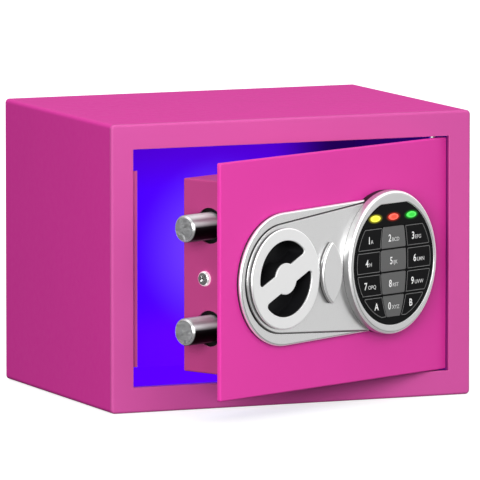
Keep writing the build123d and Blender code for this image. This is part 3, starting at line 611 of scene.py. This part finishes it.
def wound_coil(name):
    """Solenoid: zinc frame with enamelled turns on the bobbin between its ends."""
    g = Surface(name, metallic=0.9, roughness=0.32)
    low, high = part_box("solenoid")
    cheek = 1.6 * MM
    bobbin_depth = 16.8 * MM
    pitch = 0.45 * MM
    z = g.axes()[2]
    winding = g.both(
        g.math("GREATER_THAN", z, low.z + cheek),
        g.math("LESS_THAN", z, high.z - cheek),
        g.math("LESS_THAN", g.along(PROUD, DOOR @ door_box("solenoid")[0]), bobbin_depth),
    )
    turns = g.math("SINE", g.math("MULTIPLY", z, 2 * math.pi / pitch))
    g.set("Base Color", g.mix(winding, (0.55, 0.56, 0.58), (0.45, 0.13, 0.05)))
    g.set("Normal", g.bump(g.both(turns, winding), 0.05 * MM))
    return g.material


def needled_felt(name):
    """Violet felt: matted fibres in tufts of two sizes, with a painted violet glow."""
    g = Surface(name, roughness=0.95, specular_ior_level=0.0)
    fibres = g.noise(0.45 * MM, 6.0, 0.7)
    tufts = g.noise(3.5 * MM, 4.0, 0.6)
    colour = g.mix(fibres, (0.05, 0.0, 0.25), (0.13, 0.0, 0.55))
    g.set("Base Color", g.mix(g.fit(tufts, 0.3, 0.7, 0.0, 0.5), colour, (0.09, 0.0, 0.40)))
    # Painted glow: the felt gives off violet light, though it is no lamp.
    g.emit(g.mix(fibres, (0.09, 0.0, 0.80), (0.15, 0.0, 1.0)), 0.8)
    g.set("Normal", g.bump(fibres, 0.25 * MM, g.bump(tufts, 0.5 * MM)))
    return g.material


# ------------------------------------------------------------------ finishes on the CAD nodes
def dress(material, *names):
    """Gives CAD nodes a material, in place of the one that they came with."""
    for name in names:
        mesh = NODES[name].data
        mesh.materials.clear()
        mesh.materials.append(material)


def dress_steel():
    """Painted sheet, zinc, chrome and brass."""
    zinc = zinc_plate("zinc")
    dress(shell_coat("shell_coat", MAGENTA, 0.55 * MM), "body_wrap", "back_panel")
    dress(shell_coat("frame_coat", SHEEN_FRAME_PINK, 5.0 * MM), "front_frame")
    dress(powder_coat("strip_coat", SHEEN_FRAME_PINK), "keeper_strip")
    dress(powder_coat("door_coat", MAGENTA), "door_plate", "hinge_brackets")
    dress(powder_coat("casing_coat", SHADED_CASING_PINK), "lock_casing")
    dress(zinc, "hinge_pins", "casing_tab", "panel_nuts", "barrel_nut", "plunger_spring")
    dress(zinc, "knob_shaft", "knob_cam", "emergency_cam", "solenoid_plunger")
    dress(zinc, "bolt_carriage", "bolt_screws")
    dress(turned_chrome("turned_chrome", (LEAF, UP, PROUD)), "bolt_upper", "bolt_lower")
    dress(screw_chrome("screw_chrome"), "casing_screws")
    dress(zinc_plate("blackened_steel", (0.030, 0.030, 0.032), 0.45), "bolt_chassis")
    dress(turned_brass("brass"), "emergency_barrel", "emergency_plug")


def dress_silver():
    """The silver parts on the door's front, each with a painted highlight on its shoulder and painted
    shade at its foot.
    """
    leaf = door_box("door_plate")[1].z
    # Each pair of levels spans the shoulder given a painted highlight; the next level is the foot below
    # which shade is painted black.
    rim = (leaf + 2.0 * MM, leaf + 3.0 * MM)
    panel = satin_silver("panel_lacquer", rim, leaf + 1.3 * MM, groove=leaf + 2.8 * MM)
    dress(panel, "panel_housing")
    top = door_box("keypad_bezel")[1].z
    rim = (top - 1.0 * MM, top - 0.25 * MM)
    dress(satin_silver("bezel_lacquer", rim, leaf + 4.6 * MM, rough=0.38), "keypad_bezel")
    low, high = door_box("key_cover")
    rim = (high.z - 0.8 * MM, high.z - 0.15 * MM)
    dress(satin_silver("cover_lacquer", rim, low.z + 0.6 * MM, (0.67, 0.67, 0.67)), "key_cover")
    low, high = door_box("knob_face")
    rim = (high.z - 0.5 * MM, high.z - 0.10 * MM)
    dress(satin_silver("knob_chrome", rim, low.z + 0.7 * MM, (0.86, 0.86, 0.86), 0.34), "knob_face")


def dress_plastics():
    """Mouldings, boards, batteries, coil, indicators and keys."""
    black = grained_plastic("black_abs", (0.007, 0.007, 0.008), 0.45, specular=0.25)
    dress(black, "knob_cup", "keypad_base", "battery_holder", "battery_cover", "reset_switch", "buzzer")
    dress(keypad_gloss("keypad_gloss"), "keypad_face")
    dress(solder_mask("solder_mask"), "keypad_board", "control_board")
    dress(grained_plastic("silicone", (0.27, 0.27, 0.28), 0.6, 0.8 * MM), "key_mat", "board_lead")
    dress(grained_plastic("nylon", (0.80, 0.80, 0.77), 0.4), "board_spacers")
    dress(grained_plastic("red_plastic", (0.62, 0.02, 0.02), 0.3), "reset_button")
    dress(battery_jacket("battery_jacket"), "batteries")
    dress(wound_coil("wound_coil"), "solenoid")
    for node in LED_COLOURS:
        dress(lit_lens(node + "_lens", node), node)
    key_black = key_plastic("key_black", (0.0045, 0.0045, 0.005), (0.006, 0.006, 0.0065))
    key_grey = key_plastic("key_grey", (0.120, 0.120, 0.120), (0.134, 0.134, 0.134))
    for name in KEY_NAMES:
        dress(key_grey if name in GREY_KEYS else key_black, "key_" + name)


# ------------------------------------------------------------------ pieces made here
def new_piece(name, mesh, material, body, matrix=None):
    """An object that rides a body, placed by a matrix."""
    piece = bpy.data.objects.new(name, mesh)
    bpy.context.scene.collection.objects.link(piece)
    if matrix is not None:
        piece.matrix_world = matrix
    mesh.materials.clear()
    mesh.materials.append(material)
    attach(piece, body)
    return piece


def top_outline(node):
    """Outline of a CAD node's proudest flat face, in order, in the door's frame."""
    points = door_points(node)
    top = max(p.z for p in points)
    flat = [p.z > top - 0.01 * MM for p in points]
    micron = 1e-6
    spots = [(round(p.x / micron), round(p.y / micron)) for p in points]
    sides = {}
    for face in NODES[node].data.polygons:
        if all(flat[i] for i in face.vertices):
            for i, j in zip(face.vertices, list(face.vertices)[1:] + [face.vertices[0]]):
                sides[spots[i], spots[j]] = True
    after = {a: b for a, b in sides if (b, a) not in sides}
    start = next(iter(after))
    loop = [start]
    while after[loop[-1]] != start:
        loop.append(after[loop[-1]])
    return [Vector(spot) * micron for spot in loop], top


def inset(loop, distance):
    """A closed outline moved inwards; the outline runs counter-clockwise."""
    moved = []
    for i, point in enumerate(loop):
        before = (point - loop[i - 1]).normalized()
        after = (loop[(i + 1) % len(loop)] - point).normalized()
        normal = Vector((-before.y - after.y, before.x + after.x)).normalized()
        lean = max(0.5, normal.dot(Vector((-before.y, before.x))))
        moved.append(point + normal * distance / lean)
    return moved


def key_border(name, material):
    """Printed line round a black key."""
    width = 0.36 * MM
    ink_half = 0.02 * MM
    outer, top = top_outline("key_" + name)
    inner = inset(outer, width)
    bm = bmesh.new()
    rings = []
    for ring, side in ((outer, -1), (outer, 1), (inner, 1), (inner, -1)):
        rings.append([bm.verts.new((p.x, p.y, top + side * ink_half)) for p in ring])
    for a, b in zip(rings, rings[1:] + rings[:1]):
        for i in range(len(outer)):
            j = (i + 1) % len(outer)
            bm.faces.new((a[i], a[j], b[j], b[i]))
    bmesh.ops.recalc_face_normals(bm, faces=bm.faces)
    mesh = bpy.data.meshes.new("key_border_" + name)
    bm.to_mesh(mesh)
    bm.free()
    new_piece("key_border_" + name, mesh, material, f"key_{name}_cap", DOOR)


def text_mesh(name, words, height, squeeze, weight):
    """Raised lettering of a given capital height, as a mesh with its lower left corner at the origin."""
    capital_share = 0.729
    curve = bpy.data.curves.new(name, "FONT")
    curve.body = words
    curve.size = height / capital_share
    curve.extrude = 0.02 * MM
    curve.offset = weight * height
    curve.resolution_u = 6
    holder = bpy.data.objects.new(name, curve)
    bpy.context.scene.collection.objects.link(holder)
    bpy.context.view_layer.update()
    mesh = bpy.data.meshes.new_from_object(holder)
    bpy.data.objects.remove(holder)
    low = Vector((min(v.co.x for v in mesh.vertices), 0, 0))
    mesh.transform(Matrix.Diagonal((squeeze, 1, 1, 1)) @ Matrix.Translation(-low))
    return mesh


def width_of(mesh):
    """Width of lettering that starts at the origin."""
    return max(v.co.x for v in mesh.vertices)


def outline_centre(loop):
    """Centre of area of an outline."""
    area = 0.0
    centre = Vector((0, 0))
    for i, p in enumerate(loop):
        q = loop[(i + 1) % len(loop)]
        cross = p.x * q.y - q.x * p.y
        area += cross / 2
        centre += (p + q) * cross / 6
    return centre / area


def key_legend(name, white, pale):
    """The key's figure and its small letters, side by side on one line."""
    digit_height = 4.4 * MM
    word_height = 2.3 * MM
    gap = 0.9 * MM
    lift = 0.01 * MM
    loop, top = top_outline("key_" + name)
    centre = outline_centre(loop)
    digit = text_mesh("figure_" + name, name.upper(), digit_height, 0.86, 0.018)
    word = KEY_WORDS.get(name)
    letters = text_mesh("letters_" + name, word, word_height, 1.05, 0.016) if word else None
    total = width_of(digit) + (gap + width_of(letters) if letters else 0)
    left = centre.x - total / 2
    base = centre.y - digit_height / 2
    place = DOOR @ Matrix.Translation((left, base, top + lift))
    body = f"key_{name}_cap"
    new_piece("figure_" + name, digit, white, body, place)
    if letters:
        place = DOOR @ Matrix.Translation((left + width_of(digit) + gap, base, top + lift))
        new_piece("letters_" + name, letters, pale, body, place)


def print_keys():
    """Figures and letters on every key, and a line round each black one."""
    white = ink("white_ink", (0.90, 0.90, 0.90))
    pale = ink("pale_ink", (0.60, 0.60, 0.60))
    grey = ink("grey_ink", (0.17, 0.17, 0.17))
    for name in KEY_NAMES:
        key_legend(name, white, pale)
        if name not in GREY_KEYS:
            key_border(name, grey)


def felt_top(x, y, edge):
    """How far the felt's top is from its full thickness; edge counts the rows in from the rim."""
    broad = math.sin(61 * x + 1.3) * math.sin(47 * y)
    small = math.sin(143 * x) * math.sin(171 * y + 0.6)
    rounding = {0: 0.55 * MM, 1: 0.12 * MM}.get(edge, 0)
    return (0.5 * broad + 0.3 * small) * 0.14 * MM - 0.15 * MM - rounding


def make_felt():
    """Felt mat laid on the floor inside, with soft edges, a slightly uneven top and two anchor holes."""
    low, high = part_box("floor_mat")
    size = high - low
    columns, rows = 110, 78
    hole_radius = 6.5 * MM
    holes = [Vector((side * 55 * MM, 20 * MM)) for side in (-1, 1)]

    def spot(i, j):
        return Vector((low.x + size.x * i / columns, low.y + size.y * j / rows))

    def is_felt(i, j):
        return all((spot(i + 0.5, j + 0.5) - hole).length >= hole_radius for hole in holes)

    bm = bmesh.new()
    lower = {}
    upper = {}
    for i in range(columns + 1):
        for j in range(rows + 1):
            x, y = spot(i, j)
            edge = min(i, j, columns - i, rows - j)
            lower[i, j] = bm.verts.new((x, y, low.z + 0.05 * MM))
            upper[i, j] = bm.verts.new((x, y, high.z + felt_top(x, y, edge)))
    cells = [(i, j) for i in range(columns) for j in range(rows) if is_felt(i, j)]
    filled = set(cells)
    for i, j in cells:
        corners = ((i, j), (i + 1, j), (i + 1, j + 1), (i, j + 1))
        bm.faces.new([upper[corner] for corner in corners])
        bm.faces.new([lower[corner] for corner in reversed(corners)])
        beside = ((i, j - 1), (i + 1, j), (i, j + 1), (i - 1, j))
        for a, b, cell in zip(corners, corners[1:] + corners[:1], beside):
            if cell not in filled:
                bm.faces.new((lower[a], lower[b], upper[b], upper[a]))
    for vertex in [v for v in bm.verts if not v.link_faces]:
        bm.verts.remove(vertex)
    mesh = bpy.data.meshes.new("felt_mat")
    bm.to_mesh(mesh)
    bm.free()
    for face in mesh.polygons:
        face.use_smooth = True
    felt = new_piece("felt_mat", mesh, needled_felt("needled_felt"), "root")
    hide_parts("floor_mat")


# ------------------------------------------------------------------ studio
def make_floor():
    """Wide pale floor that carries the background."""
    mesh = bpy.data.meshes.new("floor")
    reach = 12
    corners = [(-reach, -reach, 0), (reach, -reach, 0), (reach, reach, 0), (-reach, reach, 0)]
    mesh.from_pydata(corners, [], [(0, 1, 2, 3)])
    floor = bpy.data.objects.new("floor", mesh)
    floor.location.z = -0.2 * MM
    bpy.context.scene.collection.objects.link(floor)
    g = Surface("floor_paper", roughness=0.9, specular_ior_level=0.0)
    g.set("Base Color", g.mix(g.noise(0.4), (0.50, 0.50, 0.50), (0.52, 0.52, 0.52)))
    away = g.vector("LENGTH", g.position(), (0, 0, 0), "Value")
    # Painted light: the floor glows, dimmer near the safe and full white from about 1.2 m out.
    g.emit(g.mix(g.fit(away, 0.3, 1.2, smooth=True), (0.70, 0.70, 0.70), WHITE))
    mesh.materials.append(g.material)
    floor.visible_glossy = False
    floor.visible_diffuse = False


def make_backdrop():
    """Plain white dome round the floor, seen only by the camera."""
    bm = bmesh.new()
    bmesh.ops.create_uvsphere(bm, u_segments=48, v_segments=24, radius=11)
    mesh = bpy.data.meshes.new("backdrop")
    bm.to_mesh(mesh)
    bm.free()
    backdrop = bpy.data.objects.new("backdrop", mesh)
    bpy.context.scene.collection.objects.link(backdrop)
    g = Surface("backdrop_paper", roughness=1.0, specular_ior_level=0.0)
    g.set("Base Color", g.mix(g.noise(0.4), (0.95, 0.95, 0.95), WHITE))
    g.emit(WHITE)
    mesh.materials.append(g.material)
    backdrop.visible_glossy = False
    backdrop.visible_diffuse = False
    backdrop.visible_shadow = False


def softbox(name, place, width, power):
    """Square white area light aimed at the safe's middle."""
    data = bpy.data.lights.new(name, "AREA")
    data.shape = "RECTANGLE"
    data.size = width
    data.size_y = width
    data.energy = power
    light = bpy.data.objects.new(name, data)
    light.location = place
    aim = Vector(BODY_MIDDLE) - Vector(place)
    light.rotation_euler = aim.to_track_quat("-Z", "Y").to_euler()
    bpy.context.scene.collection.objects.link(light)


def make_surround():
    """Studio surround: pale overhead, bright card at the right, dim one at the left, darker below."""
    world = bpy.data.worlds.new("surround")
    world.use_nodes = True
    g = Graph(world.node_tree, "Background")
    way = g.add("SeparateXYZ")
    g.put(way.inputs[0], g.add("TexCoord").outputs["Generated"])
    x, _, z = way.outputs
    everywhere = 0.10
    left_card = g.fit(x, -0.60, -0.98, 0.0, 0.16, smooth=True)
    right_card = g.fit(x, 0.60, 0.93, 0.0, 0.95, smooth=True)
    level = g.math("ADD", g.math("ADD", left_card, right_card), everywhere)
    overhead = g.fit(z, 0.15, 0.7, 0.0, 0.50, smooth=True)
    dim_below = g.fit(z, -0.5, -0.05, 0.35, 1.0, smooth=True)
    g.set("Strength", g.math("ADD", g.both(level, dim_below), overhead))
    g.set("Color", WHITE)
    bpy.context.scene.world = world


def make_light():
    """Overhead light, the main one at the front left and fill from the front; metres and watts."""
    softbox("overhead", (-0.10, 0.05, 1.40), 1.2, 7.2)
    softbox("front_left", (-1.05, -1.55, 0.42), 0.8, 29)
    softbox("front_right", (0.10, -1.40, 0.70), 0.9, 7)
    make_surround()
    bpy.context.scene.view_settings.view_transform = "Standard"


make_camera()
dress_steel()
dress_silver()
dress_plastics()
print_keys()
make_felt()
make_floor()
make_backdrop()
make_light()
